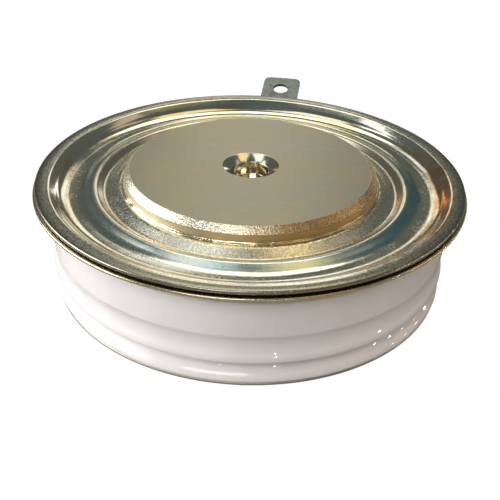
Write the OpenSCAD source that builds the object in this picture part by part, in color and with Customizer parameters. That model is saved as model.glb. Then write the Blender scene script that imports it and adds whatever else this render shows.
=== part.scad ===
// Press-pack thyristor capsule: two copper pole pieces, a glazed ceramic ring and a pressed,
// convoluted lid welded at its rim. The silicon wafer and the spring-loaded gate contact lie inside.
// The origin is the centre of the lower contact face, and +Z points to the upper contact face.
// The two terminals stand towards +Y.

/* [Capsule] */
// Diameter over the lid's welded rim
rim_d = 58.4; // [57.5:0.1:60]
// Height between the two contact faces
capsule_h = 16; // [15.5:0.1:18]
// Upper contact face above the top of the rim
upper_rise = 0.8; // [0.4:0.1:1.4]
// Lower contact face below the lower flange
lower_rise = 0.35; // [0.3:0.05:0.7]

/* [Pole pieces] */
// Diameter of both pole pieces
pole_d = 35; // [34:0.1:35.4]
// Chamfer round each contact face
pole_chamfer = 0.85; // [0.5:0.05:1]
// Step in from the pole to its inner post
pole_step = 0.5; // [0.3:0.05:0.8]
// Height of the shoulder that a flange is brazed to
shoulder_h = 1; // [0.7:0.05:1.2]
// Height of the upper pole piece
cathode_h = 6.8; // [6.6:0.1:7.4]

/* [Centring holes] */
// Diameter of the hole in each contact face
hole_d = 5; // [4:0.1:5.6]
// Depth of the hole below the contact face
hole_depth = 2.6; // [1.6:0.1:2.8]
// Diameter of the countersink
sink_d = 7.8; // [6.4:0.1:9]
// Depth of the countersink
sink_depth = 0.75; // [0.4:0.05:1]

/* [Pressed lid] */
// Sheet thickness of the lid
lid_t = 0.55; // [0.4:0.05:0.6]
// Distance from the pole to the rim's edge at which the bends have the widths below
bend_span = 11.7; // [11.1:0.1:12.3]
// Width of the flat rim
rim_w = 1.6; // [1.4:0.05:2]
// Drop of the rim to its inner crease
crease_drop = 0.1; // [0.05:0.05:0.3]
// Width of the sloping band inside the crease
slope_w = 1.05; // [0.9:0.05:1.2]
// Depth of that band's inner edge below the rim
slope_drop = 0.75; // [0.6:0.05:0.9]
// Width of the steep wall between that band and the channel's floor
riser_w = 0.85; // [0.7:0.05:1]
// Depth of the channel's flat floor below the rim
channel_drop = 1.75; // [1.6:0.05:2]
// Width of the slope from the channel's floor up to the ridge
flank_w = 1.65; // [1.4:0.05:1.8]
// Depth below the rim of the ridge inside the channel
ridge_drop = 0.95; // [0.85:0.05:1.1]
// Distance from the pole to the ridge
ridge_gap = 3.95; // [3.7:0.05:4.1]
// Depth of the narrow valley below the rim
valley_drop = 2.1; // [1.9:0.05:2.3]
// Distance from the pole to the valley
valley_gap = 2.6; // [2.4:0.05:2.8]
// Width of the flat landing round the pole
landing_w = 0.8; // [0.6:0.05:0.9]
// Depth of the landing below the rim
landing_drop = 1.3; // [1.2:0.05:1.4]

/* [Weld ring and flange] */
// Sheet thickness of the weld ring and the lower flange
ring_t = 0.4; // [0.3:0.05:0.5]
// How far the weld ring's edge stands out past the lid's
ring_out = 0.3; // [0:0.05:0.5]
// Open seam between the lid and the weld ring
seam_gap = 0.25; // [0.15:0.05:0.35]
// Width of the weld line inside the seam
weld_w = 0.6; // [0.4:0.05:0.8]
// Height of the step pressed into the lower flange
flange_step = 1.15; // [0.8:0.05:1.3]
// Leg of the braze fillet at each pole
fillet = 0.5; // [0.3:0.05:0.6]

/* [Ceramic ring] */
// Wall of the ceramic ring at its marking band
ceramic_wall = 4.6; // [4:0.1:5]
// Gap between the lid's channel and the weld ring's foot
nest_gap = 0.1; // [0.05:0.01:0.2]
// How far the upper shed stands out of the marking band
shed_out = 0.2; // [0.1:0.05:0.6]
// How far the lower shed stands out of the marking band
base_out = 0.15; // [0.1:0.05:0.6]
// Depth of the shallow cove above the upper shed
cove_in = 0.35; // [0.2:0.05:0.6]
// Depth of the deep groove below the upper shed
groove_in = 0.9; // [0.6:0.05:1.2]
// Height of the upper shed's edge above the lower flange
shed_z = 3.6; // [3.3:0.05:3.8]
// Height of the marking band's lower edge above the lower flange
band_z = 7.25; // [6.8:0.05:7.3]

/* [Terminals] */
// Width of both terminal tabs
tab_w = 6.35; // [5:0.05:7]
// Sheet thickness of both tabs
tab_t = 0.5; // [0.4:0.05:0.6]
// Reach of the upper tab past the weld ring's edge, along the tab
sense_reach = 7.5; // [7:0.1:7.6]
// Upward slant of the upper tab in degrees
sense_slant = 15.5; // [13.5:0.5:15.5]
// Reach of the gate tab past the ceramic's marking band
gate_reach = 10; // [9:0.1:12]
// Corner radius of both tabs
tab_corner = 1.1; // [0.5:0.1:1.5]
// Diameter of the hole in both tabs
tab_hole_d = 2.6; // [2:0.1:3]
// Distance from a tab's tip to its hole
tab_hole_in = 3.2; // [2.8:0.1:3.6]

/* [Wafer stack] */
// Diameter of the silicon wafer and its carrier plates
wafer_d = 33; // [31:0.1:33]
// Thickness of the silicon
silicon_t = 0.45; // [0.3:0.05:0.6]
// Thickness of the lower carrier plate
anode_plate_t = 1.6; // [1.4:0.05:1.7]
// Thickness of the upper carrier plate
cathode_plate_t = 0.85; // [0.7:0.05:0.9]
// Thickness of the silver foil
foil_t = 0.1; // [0.05:0.01:0.15]
// Wall of the locating ring round the inner posts
locating_wall = 2.5; // [1.5:0.1:3.5]

/* [Gate contact] */
// Diameter of the pocket in the upper pole
pocket_d = 6; // [5.8:0.1:6.4]
// Depth of the pocket
pocket_h = 3.1; // [3:0.05:3.2]
// Height of the gate lead above the pole's inner face
lead_z = 1.05; // [1:0.05:1.1]
// Diameter of the gate lead
lead_d = 0.7; // [0.5:0.05:0.8]
// Diameter of the insulating sleeve
sleeve_d = 1.6; // [1.3:0.1:1.7]
// Outer diameter of the gate tube
tube_d = 2.3; // [2:0.1:2.6]
// Wire of the gate spring
spring_wire = 0.32; // [0.2:0.02:0.36]
// Turns of the gate spring
spring_turns = 3; // [2:0.5:3]

/* [Hidden] */
$fn = 96;

// Small clearance between pieces that are only laid together
slip = 0.05;
// Overlap of a cutter past the face that it cuts
over = 0.5;
// Steps on each rounded stretch of an outline, and on each small edge rounding
arc_steps = 8;
edge_steps = 4;

rim_r = rim_d / 2;
pole_r = pole_d / 2;
post_r = pole_r - pole_step;
rim_z = capsule_h - upper_rise;

// The lid's upper surface, from the rim inwards
rim_flat = 0.5;
flat_end = [rim_r - rim_flat, rim_z];
// The bends fill the distance between the pole and the rim, so they widen and narrow with it
spread = (rim_r - pole_r) / bend_span;
crease = [rim_r - spread * rim_w, rim_z - crease_drop];
slope_end = [crease[0] - spread * slope_w, rim_z - slope_drop];
riser_foot = [slope_end[0] - spread * riser_w, rim_z - channel_drop];
ridge = [pole_r + spread * ridge_gap, rim_z - ridge_drop];
flank_foot = [ridge[0] + spread * flank_w, rim_z - channel_drop];
valley = [pole_r + spread * valley_gap, rim_z - valley_drop];
landing = [pole_r + spread * landing_w, rim_z - landing_drop];
channel_r = 1;
ridge_r = 0.9;
valley_r = 0.5;
lid_seat_z = landing[1] - lid_t;
// The pole's shoulder ends inside the bend in the lid's underside
shoulder_r = parallel([valley, landing, [pole_r, landing[1]]], lid_t)[1][0] - slip;

// Weld ring: a rim and a cone that follow the lid, a collar and a foot on the ceramic
ring_gap = lid_t + seam_gap;
ring_rim_z = rim_z - ring_gap;
ring_r = rim_r + ring_out;
lid_rim = [[rim_r, rim_z], flat_end, crease, slope_end, slope_end - [slope_w, slope_w]];
ring_line = parallel(lid_rim, ring_gap);
collar = ring_line[3];
foot_z = rim_z - channel_drop - lid_t - nest_gap;
ceramic_top = foot_z - ring_t;
bend_r = 0.3;
// How far the weld ring's foot reaches into the ceramic's bore line
foot_in = 0.4;

// Ceramic ring
ceramic_bottom = lower_rise + ring_t;
band_r = collar[0] + ring_t;
bore_r = band_r - ceramic_wall;
shed_r = band_r + shed_out;
base_r = band_r + base_out;
shed_edge_z = lower_rise + shed_z;
band_edge_z = lower_rise + band_z;
edge_round = 0.15;
top_round = 0.4;
base_round = 0.3;
// Rise of the upper shed's underside towards its sharp edge
undercut = 0.25;
// Upright stretch above each shed's edge
shed_lip = 0.3;
// Depth at which the glaze rounds off the end of each hollow
hollow_end = 0.1;

// Lower flange and pole
flange_seat_z = lower_rise + flange_step + ring_t;
flange_step_in = 0.6;
flange_step_r = bore_r - flange_step_in;
flange_in = 0.1;
flange_r = base_r - flange_in;
flange_land = 1;

// Wafer stack, from the upper pole downwards; the lower pole fills what is left
post_z = capsule_h - cathode_h;
cathode_plate_z = post_z - cathode_plate_t;
silicon_z = cathode_plate_z - silicon_t;
anode_plate_z = silicon_z - anode_plate_t;
foil_z = anode_plate_z - foil_t;
anode_h = foil_z;
wafer_r = wafer_d / 2;
plate_hole_r = 2;
// The upper plate is smaller than the wafer, whose bevelled edge carries the silicone bead
plate_in = 1.3;
seal_gap = 0.3;
seal_r = 0.4;

// Gate contact in the upper pole
gate_z = post_z + lead_z;
pocket_r = pocket_d / 2;
pocket_top = post_z + pocket_h;
cup_wall = 0.45;
cup_r = pocket_r - slip;
cup_bore_r = cup_r - cup_wall;
cup_set_back = 0.1;
cup_mouth_z = post_z + cup_set_back;
// Clearance round the pieces that move or pass through others in the gate contact
play = 0.2;
pin_head_h = 0.5;
pin_head_r = cup_bore_r - play;
pin_r = 0.7;
head_top = gate_z + pin_head_h / 2;
guide_h = 0.5;
slot_gap = 0.3;
slot_w = sleeve_d + 2 * slot_gap;
slot_top = gate_z + sleeve_d / 2 + slot_gap;

// Gate tube: it starts at the ceramic's bore and is pinched flat outside, where the tab lies on it
tube_r = tube_d / 2;
tube_bore_r = lead_d / 2 + play;
tube_stand = 1.6;
tube_in = bore_r + slip;
tube_out = band_r + tube_stand;
pinch_slope = 0.9;
pinch_flat = 1.8;
pinch_w = 3.2;
pinch_t = 0.6;
pinch_facets = 32;
pinch_start = tube_out + pinch_slope;
collar_leg = 0.55;
// The lead ends short of the pinch
lead_short = 0.6;
lead_end = tube_out - lead_short;
gate_tab_in = pinch_start + slip;
gate_tip = band_r + gate_reach;

// Upper tab: it lies slanted under the weld ring's rounded edge
tab_lap = 1.25;
sense_tab_at = [ring_r - ring_t / 2, ring_rim_z - ring_t / 2]
    + (ring_t / 2 + slip) * [sin(sense_slant), -cos(sense_slant)];

// Locating ring, below the gate tube
ring_in = 1.2;
ring_over = 0.2;

// Points along an arc round centre c
function arc(c, r, from, to, steps = arc_steps) =
    [for (i = [0 : steps]) let (a = from + (to - from) * i / steps) c + r * [cos(a), sin(a)]];

// Centre of the circle through three points
function circle_centre(p, q, s) =
    let (a = q - p, b = s - p, d = 2 * (a[0] * b[1] - a[1] * b[0]))
    p + [b[1] * (a * a) - a[1] * (b * b), a[0] * (b * b) - b[0] * (a * a)] / d;

function angle_of(v) = atan2(v[1], v[0]);

// Difference of two angles, brought to between -180 and 180 degrees
function turn(from, to) = let (d = to - from) d > 180 ? d - 360 : d < -180 ? d + 360 : d;

// Arc from p through q to s
function arc_through(p, q, s, steps = 2 * arc_steps) =
    let (c = circle_centre(p, q, s), a = angle_of(p - c), m = turn(a, angle_of(q - c)))
    arc(c, norm(p - c), a, a + m + turn(a + m, angle_of(s - c)), steps);

function unit(v) = v / norm(v);
function left_of(v) = [-v[1], v[0]];

// The path moved sideways by t, to the left of its direction
function parallel(path, t) =
    [for (i = [0 : len(path) - 1])
        let (
            before = unit(path[max(i, 1)] - path[max(i, 1) - 1]),
            after = unit(path[min(i + 1, len(path) - 1)] - path[min(i + 1, len(path) - 1) - 1]),
            n = unit(left_of(before) + left_of(after))
        )
        path[i] + n * t / (n * left_of(before))];

function reversed(path) = [for (i = [len(path) - 1 : -1 : 0]) path[i]];

// Corner at p between the directions to a and b, rounded with radius r
function rounded(a, p, b, r, steps = arc_steps) =
    let (
        u = unit(a - p),
        v = unit(b - p),
        half = acos(u * v) / 2,
        c = p + unit(u + v) * r / sin(half),
        first = angle_of(p + u * r / tan(half) - c)
    )
    arc(c, r, first, first + turn(first, angle_of(p + v * r / tan(half) - c)), steps);

// Section of a pressed sheet with a rounded outer edge
module sheet_section(path, t) {
    under = parallel(path, t);
    edge_centre = (path[0] + under[0]) / 2;
    polygon(concat(path, reversed(under), arc(edge_centre, t / 2, -90, 90)));
}

lid_path = concat(
    [[rim_r - lid_t / 2, rim_z], flat_end, crease, slope_end],
    rounded(slope_end, riser_foot, flank_foot, channel_r),
    rounded(riser_foot, flank_foot, ridge, channel_r),
    rounded(flank_foot, ridge, valley, ridge_r),
    rounded(ridge, valley, landing, valley_r),
    [landing, [pole_r + slip, landing[1]]]
);

weld_ring_path = concat(
    [[ring_r - ring_t / 2, ring_rim_z], ring_line[1], ring_line[2], collar],
    rounded(collar, [collar[0], foot_z], [bore_r, foot_z], bend_r),
    [[bore_r + foot_in, foot_z]]
);

flange_foot = [bore_r, ceramic_bottom];
flange_top = [flange_step_r - flange_step_in, flange_seat_z];
flange_path = concat(
    [[flange_r - ring_t / 2, ceramic_bottom], [flange_r - flange_land, ceramic_bottom]],
    rounded([flange_r, ceramic_bottom], flange_foot, flange_top, bend_r),
    rounded(flange_foot, flange_top, [pole_r, flange_seat_z], bend_r),
    [[pole_r + slip, flange_seat_z]]
);

// Blind centring hole with a countersink, opening towards -Z at the origin
module centring_hole() {
    translate([0, 0, -over]) cylinder(h = hole_depth + over, d = hole_d);
    rotate_extrude() polygon([[0, 0], [sink_d / 2, 0], [hole_d / 2, sink_depth], [0, sink_depth]]);
    translate([0, 0, -over]) cylinder(h = over, d = sink_d);
}

// Pole piece with its contact face on the origin plane, built upwards to its inner face
module pole(h, shoulder_z) {
    difference() {
        rotate_extrude() polygon([
            [0, 0],
            [pole_r - pole_chamfer, 0],
            [pole_r, pole_chamfer],
            [pole_r, shoulder_z],
            [shoulder_r, shoulder_z],
            [shoulder_r, shoulder_z + shoulder_h],
            [post_r, shoulder_z + shoulder_h],
            [post_r, h],
            [0, h]
        ]);
        centring_hole();
    }
}

module anode_pole() {
    color("peru") pole(anode_h, flange_seat_z);
}

// The upper pole has a pocket for the gate contact and a radial slot for its lead
module cathode_pole() {
    color("rosybrown") difference() {
        translate([0, 0, capsule_h]) mirror([0, 0, 1]) pole(cathode_h, capsule_h - lid_seat_z);
        translate([0, 0, post_z - over]) cylinder(h = pocket_h + over, r = pocket_r);
        translate([-slot_w / 2, 0, post_z - over]) cube([slot_w, shoulder_r + over, slot_top - post_z + over]);
    }
}

module anode_flange() {
    color("silver") rotate_extrude() sheet_section(flange_path, ring_t);
}

module cathode_lid() {
    color("khaki") rotate_extrude() sheet_section(lid_path, lid_t);
}

module weld_ring() {
    color("darkkhaki") rotate_extrude() sheet_section(weld_ring_path, ring_t);
}

// Cold-welded line that closes the seam between the lid and the weld ring, just inside their edges
module rim_weld() {
    under_lid = parallel(lid_rim, lid_t)[1];
    on_ring = ring_line[1];
    inwards = weld_w * unit(crease - flat_end);
    color("dimgray") rotate_extrude() polygon([under_lid, under_lid + inwards, on_ring + inwards, on_ring]);
}

// Concave braze fillet between a pole and its flange, standing on the origin plane
module braze_fillet() {
    rotate_extrude() polygon(concat(
        [[pole_r, 0]],
        arc([pole_r + fillet + slip, fillet + slip], fillet, -90, -180)
    ));
}

module lid_braze() {
    color("burlywood") translate([0, 0, landing[1]]) braze_fillet();
}

module anode_braze() {
    color("burlywood") translate([0, 0, flange_seat_z - ring_t]) mirror([0, 0, 1]) braze_fillet();
}

// Glazed ring: a plain marking band, a shallow cove, a shed with a sharp lower edge,
// a deep groove and a lower shed
module ceramic_ring() {
    lip = [shed_r, shed_edge_z];
    groove_top = [band_r - hollow_end, shed_edge_z - undercut];
    base_lip = [base_r, ceramic_bottom + base_round];
    groove_foot = base_lip + [-hollow_end, shed_lip];
    groove_floor = [band_r - groove_in, (groove_foot[1] + groove_top[1]) / 2];
    cove_foot = lip + [0, shed_lip];
    cove_top = [band_r - hollow_end / 2, band_edge_z];
    cove_floor = [band_r - cove_in, (cove_foot[1] + cove_top[1]) / 2 + hollow_end];
    color("whitesmoke") difference() {
        rotate_extrude() polygon(concat(
            [[bore_r, ceramic_bottom + base_round], [bore_r + base_round, ceramic_bottom]],
            arc(base_lip - [base_round, 0], base_round, -90, 0, edge_steps),
            arc_through(groove_foot, groove_floor, groove_top),
            arc(lip - [edge_round, -edge_round], edge_round, -90, 0, edge_steps),
            arc_through(cove_foot, cove_floor, cove_top),
            [[band_r, band_edge_z + hollow_end]],
            arc([band_r - top_round, ceramic_top - top_round], top_round, 0, 90, edge_steps),
            [[bore_r + base_round, ceramic_top], [bore_r, ceramic_top - base_round]]
        ));
        translate([0, bore_r - over, gate_z]) rotate([-90, 0, 0])
            cylinder(h = ceramic_wall + 2 * over, r = tube_r + slip);
    }
}

// Flat tab that runs from y = 0 to y = reach, with rounded outer corners and its hole
module tab_blade(reach) {
    linear_extrude(height = tab_t) difference() {
        polygon(concat(
            [[-tab_w / 2, 0], [tab_w / 2, 0]],
            arc([tab_w / 2 - tab_corner, reach - tab_corner], tab_corner, 0, 90),
            arc([-tab_w / 2 + tab_corner, reach - tab_corner], tab_corner, 90, 180)
        ));
        translate([0, reach - tab_hole_in]) circle(d = tab_hole_d);
    }
}

// Auxiliary cathode terminal, welded under the slanted rim of the weld ring
module sense_tab() {
    color("gray") translate([0, sense_tab_at[0], sense_tab_at[1]]) rotate([sense_slant, 0, 0])
        translate([0, -tab_lap, -tab_t]) tab_blade(tab_lap + sense_reach);
}

// Gate terminal, welded on the pinched end of the gate tube
module gate_tab() {
    color("gray") translate([0, gate_tab_in, gate_z + pinch_t / 2]) tab_blade(gate_tip - gate_tab_in);
}

// Tube through the ceramic wall, pinched flat outside it
module gate_tube() {
    color("lightslategray") {
        translate([0, tube_in, gate_z]) rotate([-90, 0, 0]) difference() {
            cylinder(h = tube_out - tube_in, r = tube_r);
            translate([0, 0, -over]) cylinder(h = tube_out - tube_in + over, r = tube_bore_r);
        }
        hull() {
            translate([0, tube_out, gate_z]) rotate([-90, 0, 0]) cylinder(h = slip, r = tube_r, $fn = pinch_facets);
            translate([-pinch_w / 2, pinch_start, gate_z - pinch_t / 2]) cube([pinch_w, slip, pinch_t]);
        }
        translate([-pinch_w / 2, pinch_start, gate_z - pinch_t / 2]) cube([pinch_w, pinch_flat, pinch_t]);
    }
}

// Braze collar where the tube leaves the ceramic
module gate_tube_braze() {
    color("burlywood") translate([0, band_r, gate_z]) rotate([-90, 0, 0]) rotate_extrude() polygon([
        [tube_r, 0],
        [tube_r + collar_leg, 0],
        [tube_r + slip, collar_leg],
        [tube_r, collar_leg]
    ]);
}

// Silver-plated lead from the contact pin to the gate tube
module gate_lead() {
    color("gainsboro") translate([0, pin_head_r, gate_z]) rotate([-90, 0, 0])
        cylinder(h = lead_end - pin_head_r, d = lead_d);
}

module lead_sleeve() {
    from = pocket_r + play;
    to = tube_in - play;
    color("ivory") translate([0, from, gate_z]) rotate([-90, 0, 0]) difference() {
        cylinder(h = to - from, d = sleeve_d);
        translate([0, 0, -over]) cylinder(h = to - from + 2 * over, d = lead_d);
    }
}

// Plunger that presses on the wafer's gate area
module gate_pin() {
    color("gold") translate([0, 0, cathode_plate_z]) {
        cylinder(h = head_top - cathode_plate_z, r = pin_r);
        translate([0, 0, head_top - pin_head_h - cathode_plate_z]) cylinder(h = pin_head_h, r = pin_head_r);
    }
}

// Coil spring between the plunger's head and the cup: a wire swept along a helix
module gate_spring() {
    mean_r = pin_head_r - spring_wire / 2;
    low = head_top + spring_wire / 2 + slip;
    high = pocket_top - cup_wall - spring_wire / 2 - slip;
    steps_per_turn = 20;
    steps = steps_per_turn * spring_turns;
    sides = 8;
    rings = [for (i = [0 : steps])
        let (a = 360 * spring_turns * i / steps, z = low + (high - low) * i / steps)
        for (k = [0 : sides - 1])
            let (b = 360 * k / sides, r = mean_r + spring_wire / 2 * cos(b))
            [r * cos(a), r * sin(a), z + spring_wire / 2 * sin(b)]];
    walls = [for (i = [0 : steps - 1]) for (k = [0 : sides - 1])
        let (p = i * sides + k, q = i * sides + (k + 1) % sides)
        [q, p, p + sides, q + sides]];
    first = [for (k = [0 : sides - 1]) k];
    last = [for (k = [sides - 1 : -1 : 0]) steps * sides + k];
    color("silver") polyhedron(points = rings, faces = concat(walls, [first, last]), convexity = 4);
}

// Insulating cup that holds the spring and the plunger's head in the pole's pocket
module gate_insulator() {
    color("linen") difference() {
        translate([0, 0, cup_mouth_z]) cylinder(h = pocket_top - cup_mouth_z, r = cup_r);
        translate([0, 0, cup_mouth_z - over])
            cylinder(h = pocket_top - cup_wall - cup_mouth_z + over, r = cup_bore_r);
        translate([-lead_d / 2 - play, 0, cup_mouth_z - over])
            cube([lead_d + 2 * play, pocket_r + over, gate_z + lead_d - cup_mouth_z + over]);
    }
}

// Insulating guide for the plunger's stem, in the mouth of the cup
module gate_guide() {
    color("ivory") translate([0, 0, cup_mouth_z]) difference() {
        cylinder(h = guide_h, r = cup_bore_r - slip);
        translate([0, 0, -over]) cylinder(h = guide_h + 2 * over, r = pin_r + slip);
    }
}

module plate(z, t, r, hole_r = 0) {
    translate([0, 0, z]) difference() {
        cylinder(h = t, r = r);
        if (hole_r > 0) translate([0, 0, -over]) cylinder(h = t + 2 * over, r = hole_r);
    }
}

module cathode_plate() {
    color("slategray") plate(cathode_plate_z, cathode_plate_t, wafer_r - plate_in, plate_hole_r);
}

module silicon_wafer() {
    color("darkslategray") plate(silicon_z, silicon_t, wafer_r);
}

module anode_plate() {
    color("slategray") plate(anode_plate_z, anode_plate_t, wafer_r);
}

module anode_foil() {
    color("gainsboro") plate(foil_z, foil_t, wafer_r);
}

// Silicone bead that passivates the bevelled edge of the wafer
module wafer_seal() {
    inner_r = wafer_r - plate_in + seal_gap;
    color("firebrick") rotate_extrude() polygon(concat(
        arc([wafer_r, silicon_z + seal_r], seal_r, -90, 90),
        [[inner_r, silicon_z + 2 * seal_r], [inner_r, cathode_plate_z], [wafer_r, cathode_plate_z]]
    ));
}

// Insulating ring that centres the wafer stack on the posts of both poles
module locating_ring() {
    low = anode_h - ring_in;
    high = post_z + ring_over;
    post_bore = post_r + slip;
    wafer_bore = wafer_r + seal_r + slip;
    outer = max(post_bore, wafer_bore) + locating_wall;
    color("floralwhite") rotate_extrude() polygon([
        [post_bore, low],
        [outer, low],
        [outer, high],
        [post_bore, high],
        [post_bore, post_z],
        [wafer_bore, post_z],
        [wafer_bore, anode_h],
        [post_bore, anode_h]
    ]);
}

anode_pole();
anode_flange();
anode_braze();
ceramic_ring();
weld_ring();
rim_weld();
cathode_lid();
lid_braze();
cathode_pole();
sense_tab();
gate_tube();
gate_tube_braze();
gate_tab();
gate_lead();
lead_sleeve();
gate_pin();
gate_spring();
gate_insulator();
gate_guide();
cathode_plate();
silicon_wafer();
wafer_seal();
anode_plate();
anode_foil();
locating_ring();
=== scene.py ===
"""Press-pack thyristor capsule: nickel-plated pole pieces, a pressed lid, a glazed ceramic ring and two tabs,
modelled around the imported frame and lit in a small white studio.

Settings are in metres. Outlines, and the names in capitals that come from the frame, are in millimetres.
"""

import math
from functools import partial
from types import SimpleNamespace

import bmesh
import bpy
from bpy.props import FloatProperty, FloatVectorProperty, IntProperty, PointerProperty
from mathutils import Matrix, Vector, noise


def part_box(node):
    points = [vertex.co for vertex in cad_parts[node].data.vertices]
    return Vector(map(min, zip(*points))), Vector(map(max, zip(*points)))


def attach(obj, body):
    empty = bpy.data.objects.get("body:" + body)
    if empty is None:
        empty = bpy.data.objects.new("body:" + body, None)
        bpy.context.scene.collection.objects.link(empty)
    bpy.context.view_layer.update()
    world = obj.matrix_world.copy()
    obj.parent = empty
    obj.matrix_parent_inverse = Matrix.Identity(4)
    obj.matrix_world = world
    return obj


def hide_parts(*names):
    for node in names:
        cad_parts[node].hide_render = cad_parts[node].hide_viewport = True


bl_info = {
    "name": "Press-pack capsule",
    "version": (1, 0, 0),
    "blender": (4, 5, 0),
    "location": "View3D > Sidebar > Capsule",
    "description": "Builds the dressed pieces of a press-pack thyristor capsule around its frame",
    "category": "Object",
}

MM = 0.001

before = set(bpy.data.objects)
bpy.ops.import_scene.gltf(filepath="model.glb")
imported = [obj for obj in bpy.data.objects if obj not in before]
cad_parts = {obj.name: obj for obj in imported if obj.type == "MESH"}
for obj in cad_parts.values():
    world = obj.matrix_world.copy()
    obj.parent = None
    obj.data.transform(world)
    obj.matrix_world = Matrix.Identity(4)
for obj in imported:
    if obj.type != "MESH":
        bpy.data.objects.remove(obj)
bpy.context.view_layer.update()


def linear(code):
    """Linear colour of an sRGB hex code such as "#c9beaa", with full alpha."""
    parts = [int(code[i : i + 2], 16) / 255 for i in (1, 3, 5)]
    return tuple([c / 12.92 if c <= 0.04045 else ((c + 0.055) / 1.055) ** 2.4 for c in parts] + [1.0])


def darker(colour, share):
    """A linear colour made darker by a share of its light."""
    return tuple(c * (1 - share) for c in colour[:3]) + (1.0,)


def length(name, description, millimetres):
    """A length property in metres, given in millimetres."""
    return FloatProperty(name=name, description=description, default=millimetres * MM, min=0.0,
                         subtype="DISTANCE", unit="LENGTH", precision=5)


def angle(name, description, degrees):
    """An angle property in radians, given in degrees."""
    return FloatProperty(name=name, description=description, default=math.radians(degrees), subtype="ANGLE")


def tint(name, description, code):
    """A colour property, given as an sRGB hex code."""
    return FloatVectorProperty(name=name, description=description, default=linear(code), size=4,
                               min=0.0, max=1.0, subtype="COLOR")


# Radii and heights of the CAD solids' edges.
RIM_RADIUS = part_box("cathode_lid")[1].x / MM
RIM_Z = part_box("cathode_lid")[1].z / MM
LANDING_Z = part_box("lid_braze")[0].z / MM
POLE_FACE_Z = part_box("cathode_pole")[1].z / MM
POLE_INNER_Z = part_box("cathode_pole")[0].z / MM
ANODE_INNER_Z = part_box("anode_pole")[1].z / MM
RING_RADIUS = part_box("weld_ring")[1].x / MM
RING_RIM_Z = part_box("weld_ring")[1].z / MM
RING_FOOT_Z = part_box("weld_ring")[0].z / MM
CERAMIC_TOP_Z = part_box("ceramic_ring")[1].z / MM
CERAMIC_BASE_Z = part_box("ceramic_ring")[0].z / MM
SHED_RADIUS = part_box("ceramic_ring")[1].x / MM
FLANGE_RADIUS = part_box("anode_flange")[1].x / MM
FLANGE_SEAT_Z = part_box("anode_flange")[1].z / MM


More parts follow.
